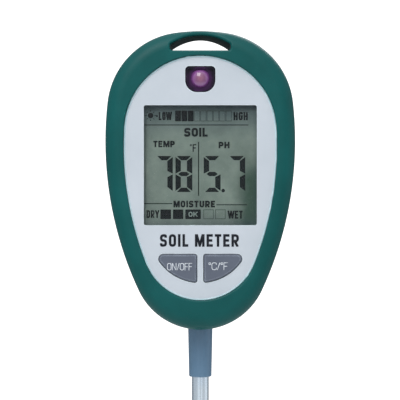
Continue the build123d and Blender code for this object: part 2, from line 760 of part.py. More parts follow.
def make_probe_tube():
    """A tube that is drawn down a little inside the collar, so that its shoulder seats there."""
    low, high = TUBE_Z
    tube = Pos(0, 0, low / 2) * Cylinder(TUBE_R, -low)
    tube -= Pos(0, 0, (low - TUBE_WALL) / 2) * Cylinder(TUBE_R - TUBE_WALL, -low - TUBE_WALL)
    tube += Pos(0, 0, high / 2) * Cylinder(NECK_R, high)
    return tube - Pos(0, 0, high / 2) * Cylinder(NECK_R - TUBE_WALL, high + 2 * TUBE_WALL)


def make_tip_insulator():
    """A ring with a spigot into the tube above and one into the point below."""
    low, high = RING_Z
    ring = Pos(0, 0, (low + high) / 2) * Cylinder(TUBE_R, high - low)
    ring += Pos(0, 0, high + PLUG / 2) * Cylinder(TUBE_R - TUBE_WALL, PLUG)
    ring += Pos(0, 0, low - SPIGOT / 2) * Cylinder(SPIGOT_R, SPIGOT)
    return ring - Pos(0, 0, low) * Cylinder(RING_BORE_R, 4 * PLUG)


def make_tip_electrode():
    """The pointed end, in a second metal."""
    tip, start = POINT_Z
    high = RING_Z[0]
    point = Pos(0, 0, (high + start) / 2) * Cylinder(TUBE_R, high - start)
    point += Pos(0, 0, (tip + start) / 2) * Cone(POINT_END_R, TUBE_R, start - tip)
    return point - Pos(0, 0, high - SPIGOT / 2) * Cylinder(SPIGOT_R, SPIGOT)


def make_thermistor():
    radius, length = THERMISTOR
    return Pos(*THERMISTOR_AT) * (Cylinder(radius, length) + Pos(0, 0, -length / 2) * Sphere(radius))


def probe_wire(x, y, low, board_x, board_z):
    """A wire up the tube, out of its top and over to the back of the board."""
    top = TUBE_Z[1] + 1.6
    away = BOARD_Y[1] + 1.5
    up = [(x, y, low), (x, y, top)]
    over = [(board_x, away, top + 3), (board_x, away, board_z), (board_x, BOARD_Y[1], board_z)]
    return wire(up + over, WIRE_BEND, WIRE_R)


def make_probe_leads():
    x, y, middle = THERMISTOR_AT
    low = middle + THERMISTOR[1] / 2
    leg = THERMISTOR_LEG
    return {
        "probe_lead_tip": probe_wire(0, 0, RING_Z[0] - SPIGOT, 0.7, 34.5),
        "probe_lead_tube": probe_wire(-1.9, 0, TUBE_Z[1] - 4, -4, 36.5),
        "thermistor_lead_a": probe_wire(x + leg, y, low, 3.2, 36.5),
        "thermistor_lead_b": probe_wire(x - leg, y, low, -1.8, 36.5),
    }


def main():
    head = head_form()
    nodes = {
        "front_shell": make_front_shell(head),
        "rear_shell": make_rear_shell(head),
        "case_screws": make_case_screws(),
        "face_plate": make_face_plate(),
        "display_window": make_display_window(),
        "light_sensor_window": make_light_sensor_window(),
        "light_sensor_dome": make_light_sensor_dome(),
        "photodiode": make_photodiode(),
        "photodiode_legs": make_photodiode_legs(),
        "power_button": make_button(-1),
        "unit_button": make_button(1),
        "power_key_dome": make_key_dome(-1),
        "unit_key_dome": make_key_dome(1),
        "power_key_pill": make_key_pill(-1),
        "unit_key_pill": make_key_pill(1),
        "key_pad": make_key_pad(),
        "lcd_front_glass": lcd_sheet(LCD_FRONT_BOX, LCD_FRONT_Y),
        "lcd_rear_glass": lcd_sheet(LCD_REAR_BOX, LCD_REAR_Y),
        "lcd_reflector": lcd_sheet(LCD_REAR_BOX, LCD_FOIL_Y),
        "lcd_frame": make_lcd_frame(),
        "zebra_strips": make_zebra_strips(),
        "main_board": make_main_board(),
        "board_screws": make_board_screws(),
        "processor_chip": make_processor_chip(),
        "amplifier_chip": make_amplifier_chip(),
        "crystal_can": make_crystal_can(),
        "capacitors": make_capacitors(),
        "chip_resistors": make_chip_resistors(),
        "battery": make_battery(),
        "battery_terminals": make_battery_terminals(),
        "battery_snap": make_battery_snap(),
        "battery_lead_red": make_battery_lead(1),
        "battery_lead_black": make_battery_lead(-1),
        "battery_door": make_battery_door(head),
        "door_latch": make_door_latch(),
        "door_foam": make_door_foam(),
        "probe_collar": make_probe_collar(),
        "probe_tube": make_probe_tube(),
        "tip_insulator": make_tip_insulator(),
        "tip_electrode": make_tip_electrode(),
        "thermistor": make_thermistor(),
    }
    nodes.update(make_probe_leads())
    for name, shape in nodes.items():
        save(name, shape)


main()
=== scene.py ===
from math import pi

import bpy
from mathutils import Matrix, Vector


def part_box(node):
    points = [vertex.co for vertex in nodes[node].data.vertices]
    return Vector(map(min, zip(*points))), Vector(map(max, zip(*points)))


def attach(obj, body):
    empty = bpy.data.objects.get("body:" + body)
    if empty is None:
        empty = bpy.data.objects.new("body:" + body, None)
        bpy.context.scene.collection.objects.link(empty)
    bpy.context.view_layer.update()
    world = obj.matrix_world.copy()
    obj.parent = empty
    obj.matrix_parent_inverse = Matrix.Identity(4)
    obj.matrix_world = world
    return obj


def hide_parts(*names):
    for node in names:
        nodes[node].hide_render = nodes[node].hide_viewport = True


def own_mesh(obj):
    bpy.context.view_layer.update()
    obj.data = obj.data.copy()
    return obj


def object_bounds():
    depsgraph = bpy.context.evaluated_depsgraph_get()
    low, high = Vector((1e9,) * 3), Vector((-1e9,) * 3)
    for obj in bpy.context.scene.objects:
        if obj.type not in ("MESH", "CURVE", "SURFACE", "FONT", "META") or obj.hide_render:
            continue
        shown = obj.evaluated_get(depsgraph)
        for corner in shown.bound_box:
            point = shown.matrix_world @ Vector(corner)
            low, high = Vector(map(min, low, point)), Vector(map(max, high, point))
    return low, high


# Looks for the soil meter: print, display segments, grips, soft domes and finishes round the CAD frame.
# Metres; a layout value in millimetres is multiplied by MM where it is used.

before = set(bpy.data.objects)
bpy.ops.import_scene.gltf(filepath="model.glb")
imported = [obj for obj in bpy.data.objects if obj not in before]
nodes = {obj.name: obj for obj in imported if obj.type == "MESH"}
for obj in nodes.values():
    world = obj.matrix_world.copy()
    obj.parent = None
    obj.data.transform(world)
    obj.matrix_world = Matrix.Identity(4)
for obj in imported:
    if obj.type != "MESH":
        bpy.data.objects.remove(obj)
cad_low, cad_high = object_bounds()
MM = 0.001
WELD = 1e-6              # vertices closer than this become one
ON_PLANE = 1e-7          # vertices closer than this to a cut are on it
SELECT_MODE = {"vertices": "VERT", "edges": "EDGE", "polygons": "FACE"}


# ---- working with objects, as by hand ----

def deselect():
    """Leaves edit mode and selects nothing."""
    if bpy.context.object and bpy.context.object.mode != "OBJECT":
        bpy.ops.object.mode_set(mode="OBJECT")
    bpy.ops.object.select_all(action="DESELECT")


def take(piece):
    """Selects one piece only and makes it active."""
    deselect()
    piece.select_set(True)
    bpy.context.view_layer.objects.active = piece


def fix_place(piece):
    """Puts the piece's place, turn and scale into its mesh."""
    take(piece)
    bpy.ops.object.transform_apply(location=True, rotation=True, scale=True)
    return piece


def choose(piece, part, test):
    """In edit mode, leaves selected only the vertices, edges or faces whose middle passes the test."""
    take(piece)
    bpy.ops.object.mode_set(mode="EDIT")
    bpy.ops.mesh.select_mode(type=SELECT_MODE[part])
    bpy.ops.mesh.select_all(action="DESELECT")
    bpy.ops.object.mode_set(mode="OBJECT")
    mesh = piece.data
    for item in getattr(mesh, part):
        if part == "vertices":
            spot = item.co
        elif part == "polygons":
            spot = item.center
        else:
            spot = sum((mesh.vertices[v].co for v in item.vertices), Vector()) / 2
        item.select = bool(test(spot, item))
    bpy.ops.object.mode_set(mode="EDIT")


def choose_all(piece, part="vertices"):
    choose(piece, part, lambda spot, item: True)


def finish_edit():
    bpy.ops.object.mode_set(mode="OBJECT")


def apply_modifier(piece, kind, **settings):
    take(piece)
    modifier = piece.modifiers.new(kind.title(), kind)
    for key, value in settings.items():
        setattr(modifier, key, value)
    bpy.ops.object.modifier_apply(modifier=modifier.name)


def join(parts, name):
    """Makes the parts one piece with this name; one part alone is only renamed."""
    deselect()
    for part in parts:
        part.select_set(True)
    bpy.context.view_layer.objects.active = parts[0]
    if len(parts) > 1:
        bpy.ops.object.join()
    piece = bpy.context.view_layer.objects.active
    piece.name = name
    piece.data.name = name
    return piece


def twin_of(piece):
    """A copy with its own mesh."""
    twin = piece.copy()
    twin.data = piece.data.copy()
    bpy.context.scene.collection.objects.link(twin)
    return twin


def welded_twin(node):
    """A copy of a CAD part in which the doubled vertices are one."""
    twin = twin_of(node)
    choose_all(twin)
    bpy.ops.mesh.remove_doubles(threshold=WELD)
    finish_edit()
    return twin


def copy_of(piece, dx=0.0, dz=0.0, turn=0.0):
    """A copy turned about the Y axis and then moved."""
    twin = twin_of(piece)
    twin.rotation_euler = (0, turn, 0)
    twin.location = (dx, 0, dz)
    return fix_place(twin)


def row_of(piece, count, dx=0.0, dz=0.0):
    """The piece and its copies, each a step further on."""
    return [piece] + [copy_of(piece, dx * i, dz * i) for i in range(1, count)]


def finished(piece, body, look):
    """Gives a piece its material and its body."""
    piece.data.materials.clear()
    piece.data.materials.append(look)
    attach(piece, body)
    return piece


# ---- flat print: thin raised plates that face the user (-Y) or the back (+Y) ----

INK_T = 0.05 * MM        # thickness of a print


def sheet_piece(name, x, z, width, height, y):
    """A thin upright rectangle centred on x, z, with its middle plane at y."""
    deselect()
    bpy.ops.mesh.primitive_plane_add(size=1.0, location=(x, y, z), rotation=(pi / 2, 0, 0))
    piece = bpy.context.object
    piece.name = name
    piece.scale = (width, height, 1.0)
    return fix_place(piece)


def thicken(piece, thickness=INK_T):
    apply_modifier(piece, "SOLIDIFY", thickness=thickness, offset=0.0)
    return piece


# Lettering is drawn with a pen: each letter is a few centre lines in a cell one unit high.
# An I is as wide as the pen; the others have these widths before a word is fitted.
LETTER_W = {
    "S": 0.62, "O": 0.64, "L": 0.52, "M": 0.86, "E": 0.56, "T": 0.58, "R": 0.66, "W": 0.96,
    "H": 0.66, "G": 0.66, "P": 0.62, "U": 0.64, "D": 0.64, "Y": 0.66, "N": 0.68, "C": 0.62, "F": 0.52,
    "K": 0.66, "V": 0.66, "/": 0.36, "°": 0.3, "-": 0.34, "+": 0.6, "9": 0.6, " ": 0.24,
}
BOLD_ROUND = 0.3         # corner radius of bold letters
LIGHT_ROUND = 0.48       # and of thin ones
BOWL_ROUND = (0, 0, 0.22, 0.22)     # corner radii of the bowls of P and R


def letter_lines(letter, w, a, curve):
    """Centre lines of a letter of width w drawn with a pen of width 2a: (points, radius, closed)."""
    left, right, middle = a, w - a, w / 2
    low, high, waist = a, 1 - a, 0.5
    bowl = ((left, waist - a / 2), (left, high), (right, high), (right, waist - a / 2))
    shapes = {
        "I": [([(left, 0), (left, 1)], 0, False)],
        "L": [([(left, 1), (left, low), (w, low)], 0, False)],
        "E": [
            ([(w, high), (left, high), (left, low), (w, low)], 0, False),
            ([(2 * a, waist), (w * 0.92, waist)], 0, False),
        ],
        "F": [
            ([(w, high), (left, high), (left, 0)], 0, False),
            ([(2 * a, waist), (w * 0.88, waist)], 0, False),
        ],
        "T": [([(0, high), (w, high)], 0, False), ([(middle, 0), (middle, high - a)], 0, False)],
        "H": [
            ([(left, 0), (left, 1)], 0, False),
            ([(right, 0), (right, 1)], 0, False),
            ([(2 * a, waist), (w - 2 * a, waist)], 0, False),
        ],
        "M": [
            ([(left, 0), (left, 1)], 0, False),
            ([(right, 0), (right, 1)], 0, False),
            ([(left, 1 + a), (middle, a), (right, 1 + a)], 0, False),
        ],
        "N": [
            ([(left, 0), (left, 1)], 0, False),
            ([(right, 0), (right, 1)], 0, False),
            ([(left, 1 + a), (right, -a)], 0, False),
        ],
        "W": [([(0, 1 + a), (w * 0.27, 0), (middle, 0.95), (w * 0.73, 0), (w, 1 + a)], 0, False)],
        "V": [([(0, 1 + a), (middle, 0), (w, 1 + a)], 0, False)],
        "Y": [
            ([(0, 1 + a), (middle, 0.42), (w, 1 + a)], 0, False),
            ([(middle, 0), (middle, 0.42)], 0, False),
        ],
        "K": [
            ([(left, 0), (left, 1)], 0, False),
            ([(w + a, 1 + a), (left, 0.34)], 0, False),
            ([(w * 0.42, 0.56), (w + a / 2, -a)], 0, False),
        ],
        "O": [([(left, low), (right, low), (right, high), (left, high)], curve, True)],
        "U": [([(left, 1), (left, low), (right, low), (right, 1)], curve, False)],
        "C": [
            ([(right, 0.68), (right, high), (left, high), (left, low), (right, low), (right, 0.32)],
             curve, False),
        ],
        "G": [
            ([(right, 0.7), (right, high), (left, high), (left, low), (right, low), (right, waist)],
             curve, False),
            ([(w, waist), (middle, waist)], 0, False),
        ],
        "S": [
            ([(right, 0.72), (right, high), (left, high), (left, waist), (right, waist), (right, low),
              (left, low), (left, 0.28)], curve * 0.8, False),
        ],
        "D": [([(left, low), (left, high), (right, high), (right, low)], (0, 0, curve, curve), True)],
        "P": [(bowl, BOWL_ROUND, True), ([(left, 0), (left, waist - 1.5 * a)], 0, False)],
        "R": [
            (bowl, BOWL_ROUND, True),
            ([(left, 0), (left, waist - 1.5 * a)], 0, False),
            ([(middle, waist - a), (right, 0)], 0, False),
        ],
        "9": [
            ([(right, waist), (left, waist), (left, high), (right, high)], 0.24, True),
            ([(right, waist), (right, low), (left, low), (left, 0.25)], (0, curve, curve, 0), False),
        ],
        "/": [([(0, -a), (w, 1 + a)], 0, False)],
        "°": [([(a, 1 - w + a), (w - a, 1 - w + a), (w - a, high), (a, high)], 0.2, True)],
        "-": [([(0, waist), (w, waist)], 0, False)],
        "+": [
            ([(0, waist), (w, waist)], 0, False),
            ([(middle, waist + w / 2), (middle, waist + a)], 0, False),
            ([(middle, waist - a), (middle, waist - w / 2)], 0, False),
        ],
        " ": [],
    }
    return shapes[letter]


def rounded_line(points, radius, closed, steps=4):
    """A path with its corners turned into arcs; radius is one number or one for each point."""
    count = len(points)
    radii = radius if isinstance(radius, tuple) else (radius,) * count
    points = [Vector((x, z)) for x, z in points]
    path = []
    for i, corner in enumerate(points):
        end = not closed and i in (0, count - 1)
        if end or radii[i] <= 0:
            path.append(corner)
            continue
        before = points[i - 1] - corner
        after = points[(i + 1) % count] - corner
        reach = min(radii[i], 0.5 * before.length, 0.5 * after.length)
        start = corner + before.normalized() * reach
        stop = corner + after.normalized() * reach
        for k in range(steps + 1):
            t = k / steps
            path.append((1 - t) ** 2 * start + 2 * t * (1 - t) * corner + t * t * stop)
    return path


def word_lines(words, width, height, pen, spacing, curve):
    """All centre lines of a word fitted to its width, in metres from its lower left corner."""
    a = pen / height / 2
    gap = 2 * a * spacing
    base = sum(LETTER_W[letter] for letter in words if letter != "I")
    stems = words.count("I")
    room = width / height - gap * (len(words) - 1) - stems * 2 * a
    stretch = room / base
    lines = []
    start = 0.0
    for letter in words:
        w = 2 * a if letter == "I" else LETTER_W[letter] * stretch
        for points, radius, closed in letter_lines(letter, w, a, curve):
            path = rounded_line(points, radius, closed)
            lines.append(([(start + p.x, p.y) for p in path], closed))
        start += w + gap
    return [([(x * height, z * height) for x, z in path], closed) for path, closed in lines]


def print_words(name, words, x, z, width, height, y, pen, back=False, spacing=0.8, curve=BOLD_ROUND):
    """Raised lettering fitted to a width and height and centred on x, z.

    It faces -Y or, at the back, +Y. The gap between letters is spacing times the pen.
    """
    drawing = bpy.data.curves.new(name, "CURVE")
    drawing.dimensions = "2D"
    drawing.fill_mode = "NONE"
    drawing.extrude = INK_T / 2
    for path, closed in word_lines(words, width, height, pen, spacing, curve):
        spline = drawing.splines.new("POLY")
        spline.points.add(len(path) - 1)
        for point, (px, pz) in zip(spline.points, path):
            point.co = (px - width / 2, pz - height / 2, 0, 1)
        spline.use_cyclic_u = closed
    piece = bpy.data.objects.new(name, drawing)
    bpy.context.scene.collection.objects.link(piece)
    take(piece)
    bpy.ops.object.convert(target="MESH")
    piece = bpy.context.object
    piece.rotation_euler = (pi / 2, 0, pi) if back else (pi / 2, 0, 0)
    piece.location = (x, y, z)
    fix_place(piece)
    apply_modifier(piece, "SOLIDIFY", thickness=pen, offset=0.0, use_even_offset=True)
    for edge, out in ((z - height / 2, -1), (z + height / 2, 1)):
        choose_all(piece)
        bpy.ops.mesh.bisect(
            plane_co=(x, y, edge), plane_no=(0, 0, out),
            use_fill=True, clear_outer=True, threshold=ON_PLANE,
        )
        finish_edit()
    choose_all(piece)
    bpy.ops.mesh.intersect_boolean(operation="UNION", use_self=True, solver="EXACT")
    finish_edit()
    return piece


# ---- shader groups ----

def new_group(name, inputs, outputs):
    """A shader group, with the nodes that stand for its inputs and outputs."""
    group = bpy.data.node_groups.new(name, "ShaderNodeTree")
    for label, kind, value in inputs:
        socket = group.interface.new_socket(label, in_out="INPUT", socket_type=kind)
        socket.default_value = value
    for label, kind in outputs:
        group.interface.new_socket(label, in_out="OUTPUT", socket_type=kind)
    return group, put(group, "NodeGroupInput"), put(group, "NodeGroupOutput")


def put(tree, kind, inputs=None, **settings):
    """Adds a node; inputs maps a socket's name or number to a value or to another node's output."""
    node = tree.nodes.new(kind)
    for key, value in settings.items():
        setattr(node, key, value)
    for key, value in (inputs or {}).items():
        socket = node.inputs[key]
        if isinstance(value, bpy.types.NodeSocket):
            tree.links.new(value, socket)
        else:
            socket.default_value = value
    return node


def math_node(tree, operation, *values, clamp=False):
    node = put(tree, "ShaderNodeMath", dict(enumerate(values)), operation=operation, use_clamp=clamp)
    return node.outputs[0]


def ramp(tree, value, stops, smooth=False):
    """A colour ramp; stops are (position, grey level or colour)."""
    node = put(tree, "ShaderNodeValToRGB", {0: value})
    band = node.color_ramp
    band.interpolation = "EASE" if smooth else "LINEAR"
    while len(band.elements) < len(stops):
        band.elements.new(0.5)
    for element, (position, colour) in zip(band.elements, stops):
        element.position = position
        element.color = colour if isinstance(colour, tuple) else (colour, colour, colour, 1)
    return node.outputs[0]


def mix_colour(tree, factor, first, second, blend="MIX"):
    values = {0: factor, 6: first, 7: second}
    return put(tree, "ShaderNodeMix", values, data_type="RGBA", blend_type=blend).outputs[2]


def object_noise(tree, scale, detail=3.0, roughness=0.5, stretch=(1, 1, 1)):
    """Noise fixed to the piece."""
    place = put(tree, "ShaderNodeTexCoord").outputs["Object"]
    mapped = put(tree, "ShaderNodeMapping", {"Vector": place, "Scale": stretch}).outputs[0]
    values = {"Vector": mapped, "Scale": scale, "Detail": detail, "Roughness": roughness}
    return put(tree, "ShaderNodeTexNoise", values).outputs[0]


def make_moulded_grain():
    """Spark-eroded moulding texture: a fine height and a slow change of tone."""
    group, inside, out = new_group(
        "moulded grain",
        [("Grain Scale", "NodeSocketFloat", 2600.0), ("Tone Scale", "NodeSocketFloat", 60.0)],
        [("Height", "NodeSocketFloat"), ("Tone", "NodeSocketFloat")],
    )
    fine = object_noise(group, inside.outputs["Grain Scale"], 2.0, 0.6)
    slow = object_noise(group, inside.outputs["Tone Scale"], 4.0, 0.55)
    group.links.new(fine, out.inputs["Height"])
    group.links.new(ramp(group, slow, [(0.3, 0.0), (0.7, 1.0)]), out.inputs["Tone"])
    return group


def make_edge_wear_and_highlight():
    """Finds edges that hands rub, broken up by a noise; on the grey plate this mask also carries a painted
    highlight.
    """
    group, inside, out = new_group(
        "edge wear and highlight",
        [("Radius", "NodeSocketFloat", 0.0006), ("Breakup", "NodeSocketFloat", 400.0)],
        [("Mask", "NodeSocketFloat")],
    )
    round_edge = put(group, "ShaderNodeBevel", {"Radius": inside.outputs["Radius"]}, samples=4)
    flat = put(group, "ShaderNodeNewGeometry").outputs["Normal"]
    both = {0: round_edge.outputs[0], 1: flat}
    dot = put(group, "ShaderNodeVectorMath", both, operation="DOT_PRODUCT")
    bend = math_node(group, "SUBTRACT", 1.0, dot.outputs["Value"])
    edge = ramp(group, bend, [(0.01, 0.0), (0.12, 1.0)])
    noise = object_noise(group, inside.outputs["Breakup"], 4.0, 0.65)
    broken = ramp(group, noise, [(0.35, 0.15), (0.65, 1.0)])
    group.links.new(math_node(group, "MULTIPLY", edge, broken), out.inputs["Mask"])
    return group


def make_hairlines():
    """Fine hairlines along one direction, from a stretched noise, and blotches of tarnish."""
    group, inside, out = new_group(
        "hairlines",
        [("Stretch", "NodeSocketVector", (1.0, 1.0, 0.02)), ("Scale", "NodeSocketFloat", 4000.0)],
        [("Lines", "NodeSocketFloat"), ("Blotch", "NodeSocketFloat")],
    )
    lines = object_noise(group, inside.outputs["Scale"], 2.0, stretch=inside.outputs["Stretch"])
    blotch = object_noise(group, 120.0, 5.0, 0.6)
    group.links.new(lines, out.inputs["Lines"])
    group.links.new(ramp(group, blotch, [(0.35, 0.0), (0.7, 1.0)]), out.inputs["Blotch"])
    return group


def make_dust():
    """Small pale specks, thickest on faces that look up."""
    group, inside, out = new_group(
        "settled dust",
        [("Scale", "NodeSocketFloat", 1500.0), ("Amount", "NodeSocketFloat", 0.3)],
        [("Mask", "NodeSocketFloat")],
    )
    place = put(group, "ShaderNodeTexCoord").outputs["Object"]
    cells = put(group, "ShaderNodeTexVoronoi", {"Vector": place, "Scale": inside.outputs["Scale"]})
    specks = ramp(group, cells.outputs["Distance"], [(0.05, 1.0), (0.16, 0.0)])
    chance = ramp(group, object_noise(group, 90.0, 3.0), [(0.5, 0.0), (0.72, 1.0)])
    facing = put(group, "ShaderNodeNewGeometry").outputs["Normal"]
    up = put(group, "ShaderNodeSeparateXYZ", {0: facing}).outputs["Z"]
    lift = math_node(group, "MULTIPLY_ADD", up, 0.4, 0.6, clamp=True)
    some = math_node(group, "MULTIPLY", math_node(group, "MULTIPLY", specks, chance), lift)
    group.links.new(math_node(group, "MULTIPLY", some, inside.outputs["Amount"]), out.inputs["Mask"])
    return group


moulded_grain = make_moulded_grain()
edge_wear_and_highlight = make_edge_wear_and_highlight()
hairlines = make_hairlines()
settled_dust = make_dust()


def use(tree, group, **values):
    """Adds a group to a material; its plain inputs are set by name."""
    node = put(tree, "ShaderNodeGroup")
    node.node_tree = group
    for key, value in values.items():
        node.inputs[key.replace("_", " ").title()].default_value = value
    return node.outputs


# ---- finishes ----

DUST = "c9cdcb"
POLISH = -0.12           # change of roughness on a rubbed edge
TARNISH = 0.08           # change of roughness on a metal's blotches


def rgb(text):
    """A colour from its sRGB hex digits."""
    levels = [int(text[i:i + 2], 16) / 255 for i in (0, 2, 4)]
    linear = [v / 12.92 if v <= 0.04045 else ((v + 0.055) / 1.055) ** 2.4 for v in levels]
    return (*linear, 1.0)


def new_finish(name, **sockets):
    """A material with a Principled shader whose plain sockets are set by name."""
    look = bpy.data.materials.new(name)
    look.use_nodes = True
    shader = look.node_tree.nodes["Principled BSDF"]
    for key, value in sockets.items():
        shader.inputs[key.replace("_", " ")].default_value = value
    return look, look.node_tree, shader


def moulded(
    name, dark, light, wear_and_highlight, roughness=(0.38, 0.5), grain=2600.0, depth=0.00002, dust=0.25, wear_and_highlight_share=0.7,
    **sockets
):
    """Moulded plastic with grain, slow changes of tone, rubbed edges and a little dust; on the grey plate
    the light rubbed edges are also a painted highlight.
    """
    look, tree, shader = new_finish(name, **sockets)
    texture = use(tree, moulded_grain, grain_scale=grain)
    tone = mix_colour(tree, texture["Tone"], rgb(dark), rgb(light))
    wear_and_highlight_mask = use(tree, edge_wear_and_highlight)["Mask"]
    wear_and_highlight_tone = mix_colour(tree, math_node(tree, "MULTIPLY", wear_and_highlight_mask, wear_and_highlight_share), tone, rgb(wear_and_highlight))
    specks = use(tree, settled_dust, amount=dust)["Mask"]
    tree.links.new(mix_colour(tree, specks, wear_and_highlight_tone, rgb(DUST)), shader.inputs["Base Color"])
    low, high = roughness
    rough = math_node(tree, "MULTIPLY_ADD", texture["Tone"], high - low, low)
    polished = math_node(tree, "MULTIPLY_ADD", wear_and_highlight_mask, POLISH, rough)
    tree.links.new(math_node(tree, "ADD", polished, specks, clamp=True), shader.inputs["Roughness"])
    bump = put(tree, "ShaderNodeBump", {"Height": texture["Height"], "Distance": depth, "Strength": 0.5})
    tree.links.new(bump.outputs[0], shader.inputs["Normal"])
    return look


def metal(name, dark, light, roughness, stretch, scale=4000.0, depth=0.000004, line=0.16):
    """Metal with hairlines and slight tarnish; line is how much the hairlines vary the roughness."""
    look, tree, shader = new_finish(name, Metallic=1.0)
    marks = use(tree, hairlines, stretch=stretch, scale=scale)
    tree.links.new(mix_colour(tree, marks["Blotch"], rgb(light), rgb(dark)), shader.inputs["Base Color"])
    lined = math_node(tree, "MULTIPLY_ADD", marks["Lines"], line, roughness - line / 2)
    rough = math_node(tree, "MULTIPLY_ADD", marks["Blotch"], TARNISH, lined, clamp=True)
    tree.links.new(rough, shader.inputs["Roughness"])
    bump = put(tree, "ShaderNodeBump", {"Height": marks["Lines"], "Distance": depth, "Strength": 0.6})
    tree.links.new(bump.outputs[0], shader.inputs["Normal"])
    return look


def from_middle(tree, name):
    """Coordinates measured from the middle of a CAD part, as three outputs, and half its size."""
    low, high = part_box(name)
    middle = (low + high) / 2
    place = put(tree, "ShaderNodeTexCoord").outputs["Object"]
    values = {"Vector": place, "Location": tuple(-middle)}
    moved = put(tree, "ShaderNodeMapping", values).outputs[0]
    return put(tree, "ShaderNodeSeparateXYZ", {0: moved}).outputs, (high - low) / 2


SIDE_SHADE_POWER = 22.0       # power of the painted shade along the display's sides: the higher, the narrower
END_SHADE_POWER = 9.0         # and at its top and bottom


def make_display_with_painted_shade():
    """Grey-green liquid crystal with slow blotches, a painted shade along its top and border, and a painted
    dark green reflection in its lower right corner.
    """
    look, tree, shader = new_finish("liquid crystal with painted shade and reflection", Specular_IOR_Level=0.12)
    spot, half = from_middle(tree, "lcd_front_glass")
    across = math_node(tree, "DIVIDE", spot["X"], half.x)
    upward = math_node(tree, "DIVIDE", spot["Z"], half.z)
    # Painted shade: the ground darkens towards its sides and ends, where the window's walls shade it.
    side = math_node(tree, "POWER", math_node(tree, "ABSOLUTE", across), SIDE_SHADE_POWER)
    ends = math_node(tree, "POWER", math_node(tree, "ABSOLUTE", upward), END_SHADE_POWER)
    painted_edge_shade = math_node(tree, "MAXIMUM", side, ends, clamp=True)
    slow = object_noise(tree, 60.0, 4.0, 0.6)
    # Painted reflection: the lower right corner is tinted darker green, as if it reflected something dark
    # green.
    uneven = math_node(tree, "MULTIPLY_ADD", slow, 0.5, math_node(tree, "ADD", across, -0.25))
    rightmost = ramp(tree, uneven, [(0.5, 0.0), (0.86, 1.0)], smooth=True)
    downward = math_node(tree, "MULTIPLY_ADD", upward, -0.5, 0.5)
    lower = ramp(tree, downward, [(0.34, 0.0), (0.64, 1.0)], smooth=True)
    painted_reflection_mask = math_node(tree, "MULTIPLY", rightmost, lower)
    blotch = ramp(tree, object_noise(tree, 110.0, 4.0, 0.6), [(0.4, 0.0), (0.75, 1.0)])
    ground = mix_colour(tree, blotch, rgb("6c756d"), rgb("838c82"))
    # Painted shade: the top is darkened, as if in the shadow of the window's upper edge.
    painted_top_shade = ramp(tree, upward, [(0.3, 0.0), (0.85, 0.68)], smooth=True)
    with_top_shade = mix_colour(tree, painted_top_shade, ground, rgb("4b5659"))
    with_painted_reflection = mix_colour(tree, math_node(tree, "MULTIPLY", painted_reflection_mask, 0.92), with_top_shade, rgb("30463a"))
    with_edge_shade = mix_colour(tree, math_node(tree, "MULTIPLY", painted_edge_shade, 0.7), with_painted_reflection, rgb("39404c"))
    tree.links.new(with_edge_shade, shader.inputs["Base Color"])
    rough = math_node(tree, "MULTIPLY_ADD", blotch, 0.1, 0.3)
    tree.links.new(rough, shader.inputs["Roughness"])
    return look


def make_clear(name, tint, roughness, ior=1.49):
    """Clear moulding that lets the lamps' light through."""
    look, tree, shader = new_finish(name, Transmission_Weight=1.0, IOR=ior, Roughness=roughness)
    shader.inputs["Base Color"].default_value = rgb(tint)
    marks = object_noise(tree, 700.0, 3.0, 0.5)
    bump = put(tree, "ShaderNodeBump", {"Height": marks, "Distance": 0.000002, "Strength": 0.15})
    tree.links.new(bump.outputs[0], shader.inputs["Normal"])
    path = put(tree, "ShaderNodeLightPath").outputs["Is Shadow Ray"]
    through = put(tree, "ShaderNodeBsdfTransparent", {"Color": rgb(tint)}).outputs[0]
    both = put(tree, "ShaderNodeMixShader", {0: path, 1: shader.outputs[0], 2: through}).outputs[0]
    tree.links.new(both, tree.nodes["Material Output"].inputs["Surface"])
    return look


def make_ink(name, colour, light, roughness=0.45):
    """Printed ink with slightly uneven cover."""
    look, tree, shader = new_finish(name, Specular_IOR_Level=0.2)
    cover = object_noise(tree, 3500.0, 3.0, 0.6)
    tree.links.new(mix_colour(tree, cover, rgb(colour), rgb(light)), shader.inputs["Base Color"])
    rough = math_node(tree, "MULTIPLY_ADD", cover, 0.2, roughness - 0.1)
    tree.links.new(rough, shader.inputs["Roughness"])
    return look


def round_shade(tree, name, stops, reach):
    """A colour by distance from the middle of a CAD part, seen along Y; the stops end at the reach."""
    spot = from_middle(tree, name)[0]
    flat = put(tree, "ShaderNodeCombineXYZ", {0: spot["X"], 2: spot["Z"]}).outputs[0]
    far = put(tree, "ShaderNodeVectorMath", {0: flat}, operation="LENGTH").outputs["Value"]
    share = math_node(tree, "DIVIDE", far, reach)
    wobble = math_node(tree, "MULTIPLY_ADD", object_noise(tree, 500.0, 3.0), 0.3, -0.15)
    return ramp(tree, math_node(tree, "ADD", share, wobble, clamp=True), stops)


def make_sensor_cup():
    """Dark purple, lighter round the dome."""
    look, tree, shader = new_finish(
        "purple cup", Coat_Weight=0.2, Coat_Roughness=0.08, Specular_IOR_Level=0.2
    )
    stops = [(0.0, rgb("4c2152")), (0.62, rgb("3c1d45")), (0.82, rgb("1e1526")), (1.0, rgb("110e18"))]
    tree.links.new(round_shade(tree, "light_sensor_window", stops, 5.8 * MM), shader.inputs["Base Color"])
    grain = object_noise(tree, 900.0, 3.0)
    tree.links.new(math_node(tree, "MULTIPLY_ADD", grain, 0.16, 0.12), shader.inputs["Roughness"])
    return look


def make_sensor_dome():
    """Glossy mauve lens with a dark rim."""
    look, tree, shader = new_finish("mauve dome", Coat_Weight=1.0, Coat_Roughness=0.05)
    stops = [(0.0, rgb("8f546c")), (0.4, rgb("7f4870")), (0.72, rgb("8a5290")), (1.0, rgb("522a5e"))]
    tree.links.new(round_shade(tree, "light_sensor_dome", stops, 3.5 * MM), shader.inputs["Base Color"])
    grain = object_noise(tree, 700.0, 3.0)
    tree.links.new(math_node(tree, "MULTIPLY_ADD", grain, 0.2, 0.12), shader.inputs["Roughness"])
    return look
